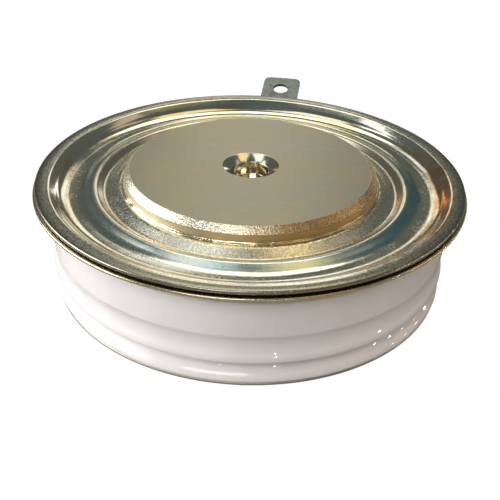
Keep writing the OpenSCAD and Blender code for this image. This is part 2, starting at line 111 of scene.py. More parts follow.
class CapsuleSizes(bpy.types.PropertyGroup):
    """Sizes of the dressed pieces that the frame doesn't give by itself."""

    pole_radius: length("Pole radius", "Radius of both pole pieces", 17.5)
    pole_chamfer: length("Pole chamfer", "Chamfer round each contact face", 0.85)
    pole_step: length("Pole step", "How far a pole's collar stands out and its post steps in", 0.5)
    collar_height: length("Collar height", "Height of a pole's collar under its sheet", 1.0)
    hole_radius: length("Hole radius", "Radius of each centring hole", 2.5)
    hole_depth: length("Hole depth", "Depth of each centring hole", 2.6)
    sink_radius: length("Countersink radius", "Mouth radius of the countersink", 3.9)
    sink_depth: length("Countersink depth", "Depth of the countersink", 0.75)
    bore_gap: length("Bore gap", "Gap between a pole and the bore of a sheet round it", 0.05)
    lid_sheet: length("Lid sheet", "Thickness of the lid's sheet", 0.55)
    rim_width: length("Rim width", "Width of the lid's flat rim", 0.95)
    crease_radius: length("Crease radius", "Radius of the crease inside the rim", 27.35)
    crease_drop: length("Crease drop", "Height of the rim over the crease", 0.1)
    slope_radius: length("Slope radius", "Radius where the band inside the crease ends", 26.55)
    slope_drop: length("Slope drop", "Height of the rim over the end of the band inside the crease", 0.75)
    trough_outer: length("Trough outer radius", "Radius where the trough's floor meets its outer wall", 25.6)
    trough_inner: length("Trough inner radius", "Radius where the trough's floor meets its inner slope", 23.2)
    trough_drop: length("Trough drop", "Height of the rim over the trough's floor", 1.75)
    ridge_radius: length("Ridge radius", "Radius of the lid's ridge", 21.45)
    ridge_drop: length("Ridge drop", "Height of the rim over the ridge", 0.95)
    valley_radius: length("Valley radius", "Radius of the lid's narrow valley", 20.1)
    valley_drop: length("Valley drop", "Height of the rim over the valley", 2.1)
    landing_radius: length("Landing radius", "Outer radius of the lid's landing round the pole", 18.3)
    waviness: length("Waviness", "Height of the pressed lid's unevenness", 0.012)
    ring_sheet: length("Ring sheet", "Thickness of the weld ring and the lower flange", 0.4)
    ring_land: length("Ring land radius", "Inner radius of the weld ring's flat land", 28.736)
    ring_bend: length("Ring bend radius", "Radius where the weld ring bends down to its collar", 27.861)
    ring_bend_drop: length("Ring bend drop", "Height of the weld ring's land over its bend", 0.08)
    collar_drop: length("Collar drop", "Height of the weld ring's land over its collar", 0.58)
    foot_inset: length("Foot inset", "Distance from the ceramic's bore to the weld ring's foot", 0.4)
    flange_step: length("Flange step", "Width of the step between the lower flange's two levels", 1.2)
    bore_radius: length("Bore radius", "Bore of the ceramic ring", 22.85)
    bore_chamfer: length("Bore chamfer", "Chamfer at both ends of the ceramic's bore", 0.3)
    base_lip: length("Base lip", "How far the ceramic's base stands out past the lower flange", 0.1)
    base_height: length("Base height", "Height of the ceramic's base step", 0.7)
    groove_depth: length("Groove depth", "Depth of the groove under the shed, from the plain band", 0.95)
    groove_height: length("Groove height", "Height of the groove's lower end over the ceramic's base", 1.75)
    shed_height: length("Shed height", "Height of the shed's lower edge over the ceramic's base", 3.2)
    cove_depth: length("Cove depth", "Depth of the cove over the shed, from the plain band", 0.62)
    cove_height: length("Cove height", "Height of the cove over the shed's lower edge", 1.95)
    band_radius: length("Band radius", "Radius of the ceramic's plain band", 27.45)
    band_height: length("Band height", "Height of the plain band's lower end over the ceramic's base", 6.85)
    tab_width: length("Tab width", "Width of both tabs", 6.35)
    tab_sheet: length("Tab sheet", "Thickness of both tabs", 0.5)
    tab_corner: length("Tab corner", "Corner radius of both tabs", 1.1)
    tab_hole: length("Tab hole", "Radius of the hole in both tabs", 1.3)
    tab_hole_in: length("Tab hole inset", "Distance from a tab's tip to its hole", 3.2)
    sense_slant: angle("Tab slant", "Upward slant of the upper tab", 15.5)
    turn_steps: IntProperty(name="Turn steps", description="Steps in one full turn of a spun piece",
                            default=240, min=48, max=360)


class CapsuleColours(bpy.types.PropertyGroup):
    """Colours of the finishes that show."""

    nickel: tint("Nickel", "Bright nickel plate", "#cfcab9")
    # Straw is a heat tint, and on the poles it also paints a warm reflection that grows towards +X.
    straw: tint("Straw", "Heat tint of the plate near the brazed joints", "#cbab6c")
    # Amber paints a warm reflection inside the rim, in patches towards +X and the camera.
    amber: tint("Amber", "Heat tint of the plate inside the rim, on the hotter side", "#c08648")
    # Steel blue paints a blue reflection on the slope outside the ridge, stronger towards +X.
    steel_blue: tint("Steel blue", "Heat tint of the plate on the slope outside the ridge", "#7aa9ba")
    bronze: tint("Bronze", "Heat tint of the plate between the valley and the ridge", "#a98a68")
    worn_nickel: tint("Worn nickel", "Plate on the rim, dulled by the welding tool", "#79766a")
    satin_nickel: tint("Satin nickel", "Lapped nickel plate of the contact faces", "#9e9a8a")
    glaze: tint("Glaze", "White glaze of the ceramic ring", "#e9e5e6")
    speck: tint("Speck", "Dark specks in the glaze", "#6f6258")


class StudioSettings(bpy.types.PropertyGroup):
    """Camera, floor and room. Azimuths turn from +X towards +Y."""

    lens: FloatProperty(name="Lens", description="Focal length in millimetres on a 36 mm sensor",
                        default=54.0, unit="CAMERA")
    distance: length("Distance", "Camera distance from the centre of the rim", 104.85)
    azimuth: angle("Azimuth", "Camera azimuth", -81.6)
    elevation: angle("Elevation", "Camera elevation above the rim's plane", 26.08)
    dip: angle("Dip", "How far the camera looks below the rim's centre", 6.08)
    swing: angle("Swing", "How far the camera looks to the right of the axis", 0.14)
    roll: angle("Roll", "Roll of the camera about its view axis", 1.66)
    floor: tint("Floor", "Studio floor, as light and reflections meet it", "#a4a09c")
    walls: tint("Walls", "Room that metal mirrors near the horizon", "#69665d")
    ceiling: tint("Ceiling", "Room that metal mirrors overhead", "#5c6c6e")


def in_mm(group):
    """The lengths of a property group in millimetres, by name."""
    names = [prop.identifier for prop in group.bl_rna.properties if prop.subtype == "DISTANCE"]
    return SimpleNamespace(**{name: getattr(group, name) / MM for name in names})


def round_segments(rounding):
    """Segments of a rounded corner, more for a large one."""
    return 3 if rounding < 0.4 else 6 if rounding < 0.9 else 14


def section(corners):
    """Bmesh with one chain of edges in the X-Z plane. A corner is (radius, z, rounding) in millimetres."""
    bm = bmesh.new()
    verts = [bm.verts.new((radius * MM, 0.0, z * MM)) for radius, z, _ in corners]
    for first, second in zip(verts, verts[1:]):
        bm.edges.new((first, second))
    for vert, (_, _, rounding) in zip(verts, corners):
        if rounding:
            bmesh.ops.bevel(bm, geom=[vert], offset=rounding * MM, offset_type="OFFSET",
                            segments=round_segments(rounding), profile=0.5, affect="VERTICES", material=-1)
    return bm


def spun(corners, steps):
    """Bmesh of the corners' chain turned once round the Z axis, with outward normals."""
    bm = section(corners)
    bmesh.ops.spin(bm, geom=bm.verts[:] + bm.edges[:], cent=(0, 0, 0), axis=(0, 0, 1), dvec=(0, 0, 0),
                   angle=math.tau, steps=steps, use_merge=True, use_duplicate=False)
    bmesh.ops.remove_doubles(bm, verts=bm.verts[:], dist=0.002 * MM)
    bmesh.ops.recalc_face_normals(bm, faces=bm.faces[:])
    return bm


def spun_sheet(corners, thickness, edge_rounding, steps):
    """Bmesh of a pressed sheet: the corners' chain is its upper side, and its outer edges are rounded."""
    bm = spun(corners, steps)
    if sum(f.normal.z for f in bm.faces) < 0:
        bmesh.ops.reverse_faces(bm, faces=bm.faces[:])
    outer_radius = max(e.verts[0].co.xy.length for e in bm.edges if e.is_boundary)
    bmesh.ops.solidify(bm, geom=bm.faces[:], thickness=thickness)
    bmesh.ops.recalc_face_normals(bm, faces=bm.faces[:])
    rim = [e for e in bm.edges if len(e.link_faces) == 2 and e.calc_face_angle(0.0) > math.radians(60)
           and min(v.co.xy.length for v in e.verts) > outer_radius - edge_rounding]
    bmesh.ops.bevel(bm, geom=rim, offset=edge_rounding, offset_type="OFFSET", segments=3, profile=0.5,
                    affect="EDGES", material=-1)
    return bm


def ruffle(bm, height, wavelength, inner, outer):
    """Moves points up or down by smooth noise between two radii, fading out towards both."""
    for vert in bm.verts:
        reach = vert.co.xy.length
        if inner < reach < outer:
            fade = math.sin(math.pi * (reach - inner) / (outer - inner))
            vert.co.z += height * fade * noise.noise(Vector(vert.co) / wavelength)


def add_piece(name, bm, material, replaced):
    """Makes a piece of the bmesh, shades it smooth and ties it to the frame."""
    mesh = bpy.data.meshes.new(name)
    bm.to_mesh(mesh)
    bm.free()
    mesh.shade_smooth()
    mesh.materials.append(material)
    piece = bpy.data.objects.new(name, mesh)
    bpy.context.scene.collection.objects.link(piece)
    weighted = piece.modifiers.new("Weighted Normal", "WEIGHTED_NORMAL")
    weighted.weight = 100
    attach(piece, "root")
    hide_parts(replaced)


def finish_node(name, material):
    """Gives a CAD node its material; its mesh stays as it is."""
    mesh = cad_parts[name].data
    mesh.materials.clear()
    mesh.materials.append(material)


def add_node(tree, kind, inputs=(), output=0, **settings):
    """Adds a shader node and gives one of its outputs, if it has any.

    inputs is in the order of its sockets, or by their names or numbers. An output in it is linked to its
    socket, and a constant is set there.
    """
    made = tree.nodes.new("ShaderNode" + kind)
    for name, value in settings.items():
        setattr(made, name, value)
    for socket, value in inputs.items() if isinstance(inputs, dict) else enumerate(inputs):
        if isinstance(value, bpy.types.NodeSocket):
            tree.links.new(value, made.inputs[socket])
        else:
            made.inputs[socket].default_value = value
    return made.outputs[output] if made.outputs else None


def new_material(name, **shader_values):
    """A material with a Principled shader, add_node for its tree, and its Object coordinates."""
    material = bpy.data.materials.new(name)
    material.use_nodes = True
    for socket, value in shader_values.items():
        material.node_tree.nodes["Principled BSDF"].inputs[socket].default_value = value
    node = partial(add_node, material.node_tree)
    return material, node, node("TexCoord", output="Object")


def finished(material, outputs):
    """The material, once each output is linked to the named socket of its shader."""
    tree = material.node_tree
    for socket, output in outputs.items():
        tree.links.new(output, tree.nodes["Principled BSDF"].inputs[socket])
    return material


def axis_distance(node, place):
    """Distance of a point from the Z axis in millimetres."""
    flat = node("VectorMath", (place, (1.0, 1.0, 0.0)), operation="MULTIPLY")
    reach = node("VectorMath", (flat,), "Value", operation="LENGTH")
    return node("Math", (reach, 1 / MM), operation="MULTIPLY")


def band(node, value, low, high, blur):
    """1 where the value lies between low and high, fading to 0 over the blur outside them."""
    rise = node("MapRange", (value, low - blur, low), interpolation_type="SMOOTHSTEP")
    fall = node("MapRange", (value, high, high + blur, 1.0, 0.0), interpolation_type="SMOOTHSTEP")
    return node("Math", (rise, fall), operation="MULTIPLY")


def coated(node, colour, coats):
    """The colour under coats of other colours, each a (mask, strength, colour) over those before it."""
    for mask, strength, coat in coats:
        share = node("Math", (mask, strength), operation="MULTIPLY")
        colour = node("Mix", {"Factor": share, 6: colour, 7: coat}, 2, data_type="RGBA")
    return colour


def bright_nickel():
    """Bright nickel, electroplated on pressed copper sheet and tinted by the heat of brazing.

    Its bends mirror the room in sharp bright and dark rings. The blasted trough and landing glitter: their
    grain is about 0.05 mm, and is drawn 0.3 mm wide so that it shows. Heat left thin rings of straw and
    bronze, and the welding tool dulled the rim. Amber patches inside the rim, towards +X and the camera, are
    painted warm reflection, and the blue ring outside the ridge, stronger towards +X, is painted blue
    reflection.
    """
    sizes, colours = in_mm(bpy.context.scene.capsule_sizes), bpy.context.scene.capsule_colours
    crease, wall, floor = sizes.crease_radius, sizes.trough_outer, sizes.trough_inner
    ridge, valley = sizes.ridge_radius, sizes.valley_radius
    material, node, place = new_material("Bright nickel plate", Metallic=1.0)
    radius = axis_distance(node, place)
    # The size of each pattern's features in millimetres, its octaves and its roughness.
    patterns = ((7.0, 3, 0.5), (0.3, 2, 0.6), (3.0, 2, 0.5), (2.5, 2, 0.5), (1.5, 3, 0.5))
    patches, flecks, drift, blotches, dents = [
        node("TexNoise", {"Vector": place, "Scale": 1 / (size * MM), "Detail": octaves, "Roughness": rough})
        for size, octaves, rough in patterns
    ]
    # Masks that grow towards +X and towards the camera. Together they place the painted warm reflection; the
    # first also sets how strong the painted blue reflection is, the second where the trough is blasted, and
    # both where the sheet is dimpled.
    toward_plus_x = node("MapRange", (node("SeparateXYZ", (place,), "X"), 6 * MM, 21 * MM))
    toward_camera = node("MapRange", (node("SeparateXYZ", (place,), "Y"), 4 * MM, 14 * MM, 1.0, 0.0))

    # The tints wander a quarter of a millimetre in and out.
    wander = node("MapRange", (drift, 0.3, 0.7, -0.25, 0.25))
    tint_radius = node("Math", (radius, wander), operation="ADD")
    straw = node("Math", (band(node, tint_radius, wall - 0.5, wall + 0.7, 0.5),
                          node("MapRange", (patches, 0.45, 0.6))), operation="MULTIPLY")
    bronze = band(node, tint_radius, valley - 0.2, ridge - 0.1, 0.4)
    # Painted warm reflection: amber in patches inside the rim, on the side towards +X and the camera, where
    # the warm lamps fall.
    warm_reflection_side = node("Math", (toward_plus_x, toward_camera), operation="MULTIPLY")
    warm_reflection_patches = node("Math", (warm_reflection_side, node("MapRange", (blotches, 0.35, 0.55, 0.3, 1.0))),
                     operation="MULTIPLY")
    amber = node("Math", (band(node, tint_radius, wall + 0.2, crease + 0.1, 0.4), warm_reflection_patches),
                 operation="MULTIPLY")
    # Painted blue reflection: a ring outside the ridge, in patches, stronger towards +X.
    blue = node("Math", (band(node, tint_radius, ridge + 0.5, floor - 0.3, 0.7),
                         node("MapRange", (patches, 0.35, 0.6, 0.45, 1.0))), operation="MULTIPLY")
    blue_side = node("MapRange", (toward_plus_x, 0.0, 1.0, 0.45, 1.0))
    worn = band(node, radius, RIM_RADIUS - 1.0, RIM_RADIUS + 1, 0.15)
    colour = coated(node, colours.nickel, (
        (straw, 0.5, colours.straw),
        (bronze, 0.3, colours.bronze),
        (amber, 0.75, colours.amber),
        (blue, blue_side, colours.steel_blue),
        (worn, 0.8, colours.worn_nickel),
    ))

    trough = node("Math", (band(node, radius, floor + 0.3, wall - 0.1, 0.4), toward_camera), operation="MULTIPLY")
    landing = band(node, radius, sizes.pole_radius + 0.6, valley - 0.3, 0.3)
    rim = band(node, radius, crease + 0.2, RIM_RADIUS - 0.5, 0.2)
    blasted = node("Math", (trough, node("MapRange", (patches, 0.4, 0.62, 0.0, 0.8)), landing),
                   operation="MULTIPLY_ADD")
    coarse = node("Math", (rim, 0.35, blasted), operation="MULTIPLY_ADD", use_clamp=True)
    film = band(node, radius, valley, floor - 0.4, 0.5)
    sparkle = node("MapRange", (flecks, 0.35, 0.65, 0.05, 0.2))
    rough = node("MapRange", (flecks, 0.3, 0.7, 0.1, 0.17))
    for mask, amount in ((coarse, sparkle), (worn, 0.12), (film, 0.08)):
        rough = node("Math", (mask, amount, rough), operation="MULTIPLY_ADD")

    grit = node("Math", (coarse, flecks), operation="MULTIPLY")
    uneven = node("Math", (toward_camera, node("MapRange", (patches, 0.45, 0.65, 0.0, 1.3)), toward_plus_x),
                  operation="MULTIPLY_ADD")
    dimples = node("Math", (dents, uneven), operation="MULTIPLY")
    fine = node("Bump", {"Height": grit, "Distance": 0.022 * MM})
    normal = node("Bump", {"Height": dimples, "Distance": 0.016 * MM, "Normal": fine})
    return finished(material, {"Base Color": colour, "Roughness": rough, "Normal": normal})


def lapped_nickel():
    """Nickel plate on turned copper, with a lapped contact face, a blasted chamfer and a brazed side.

    Lapping leaves the face an even olive-grey satin with faint streaks along X. The chamfer sparkles: its
    grain is about 0.05 mm, and is drawn 0.2 mm wide so that it shows. Brazing left a straw tint on the side.
    More straw towards +X, on the side and on both chamfers, is painted warm reflection.
    """
    sizes, colours = in_mm(bpy.context.scene.capsule_sizes), bpy.context.scene.capsule_colours
    pole, chamfer = sizes.pole_radius, sizes.pole_chamfer
    material, node, place = new_material("Lapped nickel plate", Metallic=1.0)
    radius = axis_distance(node, place)
    across = node("SeparateXYZ", (place,), "X")
    height = node("Math", (node("SeparateXYZ", (place,), "Z"), 1 / MM), operation="MULTIPLY")
    # A lapping streak is about 0.02 mm wide. It is drawn 0.25 mm wide and 4 mm long so that it shows.
    along = node("VectorMath", (place, (0.06, 1.0, 1.0)), operation="MULTIPLY")
    # Where each pattern lies, the size of its features in millimetres, its octaves and its roughness.
    patterns = ((place, 0.2, 2, 0.6), (place, 6.0, 3, 0.5), (along, 0.25, 3, 0.6))
    flecks, clouds, streaks = [
        node("TexNoise", {"Vector": where, "Scale": 1 / (size * MM), "Detail": octaves, "Roughness": rough})
        for where, size, octaves, rough in patterns
    ]

    on_face = band(node, radius, sizes.sink_radius + 0.05, pole - chamfer - 0.05, 0.08)
    on_edge = band(node, radius, pole - chamfer + 0.02, pole + 1, 0.08)
    both_chamfers = node("Math", (band(node, height, POLE_FACE_Z - chamfer, POLE_FACE_Z, 0.05),
                                  band(node, height, 0.0, chamfer, 0.05)), operation="ADD")
    on_chamfer = node("Math", (on_edge, both_chamfers), operation="MULTIPLY")
    on_side = node("Math", (on_edge, band(node, height, chamfer + 0.1, POLE_FACE_Z - chamfer - 0.1, 0.05)),
                   operation="MULTIPLY")
    colour = coated(node, colours.nickel, (
        (on_face, 0.9, colours.satin_nickel),
        (on_face, node("MapRange", (streaks, 0.4, 0.7, 0.0, 0.18)), colours.worn_nickel),
        # Painted warm reflection: straw on the side and the chamfers, growing towards +X where the warm lamps
        # fall.
        (on_side, node("MapRange", (across, -12 * MM, 3 * MM, 0.1, 0.75)), colours.straw),
        (on_chamfer, node("MapRange", (across, -2 * MM, 10 * MM, 0.0, 0.6)), colours.straw),
        (on_chamfer, node("MapRange", (flecks, 0.42, 0.56, 0.65, 0.0)), colours.worn_nickel),
        (node("MapRange", (clouds, 0.35, 0.65)), 0.15, colours.straw),
    ))
    sparkle = node("MapRange", (flecks, 0.3, 0.7, 0.02, 0.2))
    rough = node("MapRange", (clouds, 0.3, 0.7, 0.12, 0.17))
    for mask, amount in ((on_face, 0.27), (on_side, 0.3), (on_chamfer, sparkle)):
        rough = node("Math", (mask, amount, rough), operation="MULTIPLY_ADD")

    grit = node("Math", (on_chamfer, flecks), operation="MULTIPLY")
    lines = node("Math", (on_face, streaks), operation="MULTIPLY")
    blasted = node("Bump", {"Height": grit, "Distance": 0.06 * MM})
    normal = node("Bump", {"Height": lines, "Distance": 0.004 * MM, "Normal": blasted})
    return finished(material, {"Base Color": colour, "Roughness": rough, "Normal": normal})


def glazed_alumina():
    """Alumina with a fired white glaze.

    The glaze is glassy, so it mirrors lamps as sharp dots. It is a little uneven and milky, and a few dark
    specks of kiln dirt, about 4.5 mm apart, show in it.
    """
    colours = bpy.context.scene.capsule_colours
    material, node, place = new_material("Glazed alumina", Roughness=0.05, IOR=1.5)
    milk, ripples = [node("TexNoise", {"Vector": place, "Scale": 1 / (size * MM)}) for size in (5.0, 1.6)]
    nearest_speck = node("TexVoronoi", {"Vector": place, "Scale": 1 / (4.5 * MM)}, "Distance")
    colour = coated(node, colours.glaze, (
        (node("MapRange", (milk, 0.3, 0.7)), 1.0, darker(colours.glaze, 0.06)),
        (node("MapRange", (nearest_speck, 0.02, 0.035, 1.0, 0.0)), 0.7, colours.speck),
    ))
    normal = node("Bump", {"Height": ripples, "Distance": 0.006 * MM})
    return finished(material, {"Base Color": colour, "Normal": normal})


def metal_finish(name, code, roughness, grain_mm, depth_mm, spread=0.12):
    """A plated, ground or drawn metal surface: fine grain, and roughness and colour that vary a little."""
    material, node, place = new_material(name, Metallic=1.0)
    flecks = node("TexNoise", {"Vector": place, "Scale": 1 / (grain_mm * MM), "Detail": 3.0})
    clean = linear(code)
    colour = coated(node, clean, ((node("MapRange", (flecks, 0.35, 0.65)), 1.0, darker(clean, spread)),))
    rough = node("MapRange", (flecks, 0.3, 0.7, roughness - 0.05, roughness + 0.07))
    normal = node("Bump", {"Height": flecks, "Distance": depth_mm * MM})
    return finished(material, {"Base Color": colour, "Roughness": rough, "Normal": normal})


def moulded_finish(name, code, roughness, grain_mm, depth_mm, spread=0.08):
    """A moulded, turned or cast polymer: a faint cloudiness, twelve times its grain, and a fine skin."""
    material, node, place = new_material(name, IOR=1.45)
    clouds, skin = [node("TexNoise", {"Vector": place, "Scale": 1 / (size * MM)})
                    for size in (grain_mm * 12, grain_mm)]
    clean = linear(code)
    colour = coated(node, clean, ((node("MapRange", (clouds, 0.35, 0.65)), 1.0, darker(clean, spread)),))
    rough = node("MapRange", (skin, 0.3, 0.7, roughness - 0.05, roughness + 0.05))
    normal = node("Bump", {"Height": skin, "Distance": depth_mm * MM})
    return finished(material, {"Base Color": colour, "Roughness": rough, "Normal": normal})


def pole_corners(face, inwards, shoulder, inner):
    """Outline of a pole piece from its hole's floor to its inner end; inwards is +1 or -1 along Z."""
    sizes = in_mm(bpy.context.scene.capsule_sizes)
    pole, step = sizes.pole_radius, sizes.pole_step
    hole_floor = face + inwards * sizes.hole_depth
    collar_end = shoulder + inwards * sizes.collar_height
    return [
        (0.0, hole_floor, 0),
        (sizes.hole_radius, hole_floor, 0.12),
        (sizes.hole_radius, face + inwards * sizes.sink_depth, 0.05),
        (sizes.sink_radius, face, 0.06),
        (pole - sizes.pole_chamfer, face, 0.05),
        (pole, face + inwards * sizes.pole_chamfer, 0.06),
        (pole, shoulder, 0),
        (pole + step, shoulder, 0),
        (pole + step, collar_end, 0.1),
        (pole - step, collar_end, 0),
        (pole - step, inner, 0.1),
        (0.0, inner, 0),
    ]


class CAPSULE_OT_poles(bpy.types.Operator):
    """Build both pole pieces with their contact faces and centring holes"""

    bl_idname = "capsule.poles"
    bl_label = "Pole pieces"

    def execute(self, context):
        sizes = context.scene.capsule_sizes
        nickel = lapped_nickel()
        lid_seat = LANDING_Z - sizes.lid_sheet / MM
        upper = spun(pole_corners(POLE_FACE_Z, -1, lid_seat, POLE_INNER_Z), sizes.turn_steps)
        add_piece("upper_pole_piece", upper, nickel, "cathode_pole")
        lower = spun(pole_corners(0.0, 1, FLANGE_SEAT_Z, ANODE_INNER_Z), sizes.turn_steps)
        add_piece("lower_pole_piece", lower, nickel, "anode_pole")
        return {"FINISHED"}


class CAPSULE_OT_lid(bpy.types.Operator):
    """Build the pressed lid: rim, crease, trough, ridge, valley and landing"""

    bl_idname = "capsule.lid"
    bl_label = "Pressed lid"

    def execute(self, context):
        settings = context.scene.capsule_sizes
        sizes = in_mm(settings)
        corners = [
            (RIM_RADIUS, RIM_Z, 0),
            (RIM_RADIUS - sizes.rim_width, RIM_Z, 0.25),
            (sizes.crease_radius, RIM_Z - sizes.crease_drop, 0.14),
            (sizes.slope_radius, RIM_Z - sizes.slope_drop, 0.15),
            (sizes.trough_outer, RIM_Z - sizes.trough_drop, 1.1),
            (sizes.trough_inner, RIM_Z - sizes.trough_drop, 0.7),
            (sizes.ridge_radius, RIM_Z - sizes.ridge_drop, 0.7),
            (sizes.valley_radius, RIM_Z - sizes.valley_drop, 0.45),
            (sizes.landing_radius, LANDING_Z, 0.25),
            (sizes.pole_radius + sizes.bore_gap, LANDING_Z, 0),
        ]
        lid = spun_sheet(corners, settings.lid_sheet, edge_rounding=0.2 * MM, steps=settings.turn_steps)
        ruffle(lid, settings.waviness, wavelength=3.5 * MM, inner=settings.pole_radius, outer=RIM_RADIUS * MM)
        add_piece("pressed_lid", lid, bright_nickel(), "cathode_lid")
        return {"FINISHED"}


class CAPSULE_OT_weld_ring(bpy.types.Operator):
    """Build the weld ring under the lid's rim, and finish the weld in the seam"""

    bl_idname = "capsule.weld_ring"
    bl_label = "Weld ring"

    def execute(self, context):
        settings = context.scene.capsule_sizes
        sizes = in_mm(settings)
        collar = sizes.band_radius - sizes.ring_sheet
        foot_z = RING_FOOT_Z + sizes.ring_sheet
        corners = [
            (RING_RADIUS, RING_RIM_Z, 0),
            (sizes.ring_land, RING_RIM_Z, 0.15),
            (sizes.ring_bend, RING_RIM_Z - sizes.ring_bend_drop, 0.12),
            (collar, RING_RIM_Z - sizes.collar_drop, 0.15),
            (collar, foot_z, 0.25),
            (sizes.bore_radius + sizes.foot_inset, foot_z, 0),
        ]
        ring = spun_sheet(corners, settings.ring_sheet, edge_rounding=0.15 * MM, steps=settings.turn_steps)
        # Nickel plated on pressed sheet: a smooth warm line of light under the rim.
        nickel = metal_finish("Nickel-plated weld ring", "#cfc3a4", 0.2, 0.35, 0.02)
        add_piece("weld_ring_sheet", ring, nickel, "weld_ring")
        # Pressed together by a die and left bare: a dull line. Its near-black colour is painted shade of the
        # gap between the lid's rim and the weld ring.
        finish_node("rim_weld", metal_finish("Cold-welded seam in painted shade", "#3d3a35", 0.55, 0.2, 0.02))
        return {"FINISHED"}


class CAPSULE_OT_ceramic(bpy.types.Operator):
    """Build the glazed ceramic ring with its plain band, cove, shed and groove"""

    bl_idname = "capsule.ceramic"
    bl_label = "Ceramic ring"

    def execute(self, context):
        settings = context.scene.capsule_sizes
        sizes = in_mm(settings)
        bore, chamfer = sizes.bore_radius, sizes.bore_chamfer
        foot = FLANGE_RADIUS + sizes.base_lip
        groove, cove = sizes.band_radius - sizes.groove_depth, sizes.band_radius - sizes.cove_depth
        shed_z = CERAMIC_BASE_Z + sizes.shed_height
        corners = [
            (bore, CERAMIC_BASE_Z + chamfer, 0),
            (bore + chamfer, CERAMIC_BASE_Z, 0),
            (foot, CERAMIC_BASE_Z, 0.28),
            (foot, CERAMIC_BASE_Z + sizes.base_height, 0.45),
            (groove, CERAMIC_BASE_Z + sizes.groove_height, 1.1),
            (groove, shed_z - 0.45, 0.7),
            (SHED_RADIUS - 0.02, shed_z - 0.1, 0.08),
            (SHED_RADIUS, shed_z + 0.5, 0.4),
            (cove, shed_z + sizes.cove_height, 1.4),
            (sizes.band_radius, CERAMIC_BASE_Z + sizes.band_height, 0.2),
            (sizes.band_radius, CERAMIC_TOP_Z, 0.35),
            (bore + chamfer, CERAMIC_TOP_Z, 0),
            (bore, CERAMIC_TOP_Z - chamfer, 0),
            (bore, CERAMIC_BASE_Z + chamfer, 0),
        ]
        ring = spun(corners, settings.turn_steps)
        add_piece("glazed_ceramic_ring", ring, glazed_alumina(), "ceramic_ring")
        return {"FINISHED"}


class CAPSULE_OT_flange(bpy.types.Operator):
    """Build the stepped lower flange"""

    bl_idname = "capsule.flange"
    bl_label = "Lower flange"

    def execute(self, context):
        settings = context.scene.capsule_sizes
        sizes = in_mm(settings)
        corners = [
            (FLANGE_RADIUS, CERAMIC_BASE_Z, 0),
            (sizes.bore_radius, CERAMIC_BASE_Z, 0.3),
            (sizes.bore_radius - sizes.flange_step, FLANGE_SEAT_Z, 0.3),
            (sizes.pole_radius + sizes.bore_gap, FLANGE_SEAT_Z, 0),
        ]
        flange = spun_sheet(corners, settings.ring_sheet, edge_rounding=0.15 * MM, steps=settings.turn_steps)
        # Nickel plated on pressed sheet and dulled by the brazing furnace: soft grey, with no sharp mirror.
        nickel = metal_finish("Nickel-plated flange", "#b9b4a8", 0.45, 0.4, 0.02)
        add_piece("lower_flange_sheet", flange, nickel, "anode_flange")
        return {"FINISHED"}


def fillet_corners(pole, foot, tip):
    """Outline of a hollow-faced braze fillet that stands on its foot against a pole."""
    inside, height = pole - 0.02, tip - foot
    return [
        (inside, foot, 0),
        (pole + 0.42, foot, 0),
        (pole + 0.12, foot + 0.2 * height, 0.12),
        (inside, foot + 0.6 * height, 0),
        (inside, foot, 0),
    ]


class CAPSULE_OT_brazes(bpy.types.Operator):
    """Build the uneven braze fillets round both poles, and finish the collar on the gate tube"""

    bl_idname = "capsule.brazes"
    bl_label = "Braze fillets"

    def execute(self, context):
        settings = context.scene.capsule_sizes
        # Silver braze that ran and froze, then was plated: bright and lumpy, so it breaks up its reflections.
        silver = metal_finish("Plated silver braze", "#d8ccaa", 0.2, 0.5, 0.05)
        lump_width, lump_height = 1.1 * MM, 0.13 * MM
        lid_foot, lid_tip = (corner.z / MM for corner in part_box("lid_braze"))
        flange_tip, flange_foot = (corner.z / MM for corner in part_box("anode_braze"))
        for name, node, foot, tip in (("upper_braze_fillet", "lid_braze", lid_foot, lid_tip),
                                      ("lower_braze_fillet", "anode_braze", flange_foot, flange_tip)):
            fillet = spun(fillet_corners(settings.pole_radius / MM, foot, tip), settings.turn_steps)
            for vert in fillet.verts:
                if vert.co.xy.length > settings.pole_radius:
                    push = lump_height * noise.noise(Vector(vert.co) / lump_width)
                    vert.co.xy *= 1 + push / vert.co.xy.length
            add_piece(name, fillet, silver, node)
        finish_node("gate_tube_braze", silver)
        return {"FINISHED"}


def tab_mesh(reach, sizes):
    """Bmesh of a flat tab from the origin along +Y, with round outer corners, a hole and bevelled edges."""
    half, edge_bevel = sizes.tab_width / 2, 0.06 * MM
    bm = bmesh.new()
    outline = [bm.verts.new(p) for p in ((-half, 0, 0), (half, 0, 0), (half, reach, 0), (-half, reach, 0))]
    for i, vert in enumerate(outline):
        bm.edges.new((vert, outline[(i + 1) % 4]))
    bmesh.ops.bevel(bm, geom=outline[2:], offset=sizes.tab_corner, offset_type="OFFSET", segments=10,
                    profile=0.5, affect="VERTICES", material=-1)
    hole = bmesh.ops.create_circle(bm, cap_ends=False, radius=sizes.tab_hole, segments=48)["verts"]
    bmesh.ops.translate(bm, verts=hole, vec=(0, reach - sizes.tab_hole_in, 0))
    bmesh.ops.triangle_fill(bm, use_beauty=True, use_dissolve=False, edges=bm.edges[:], normal=(0, 0, 1))
    sides = bmesh.ops.extrude_face_region(bm, geom=bm.faces[:])
    lifted = [g for g in sides["geom"] if isinstance(g, bmesh.types.BMVert)]
    bmesh.ops.translate(bm, verts=lifted, vec=(0, 0, sizes.tab_sheet))
    bmesh.ops.recalc_face_normals(bm, faces=bm.faces[:])
    sharp = [e for e in bm.edges if e.calc_face_angle(0.0) > math.radians(50)
             and abs(e.verts[0].co.z - e.verts[1].co.z) < 0.1 * sizes.tab_sheet]
    bmesh.ops.bevel(bm, geom=sharp, offset=edge_bevel, offset_type="OFFSET", segments=2, profile=0.5,
                    affect="EDGES", material=-1)
    return bm


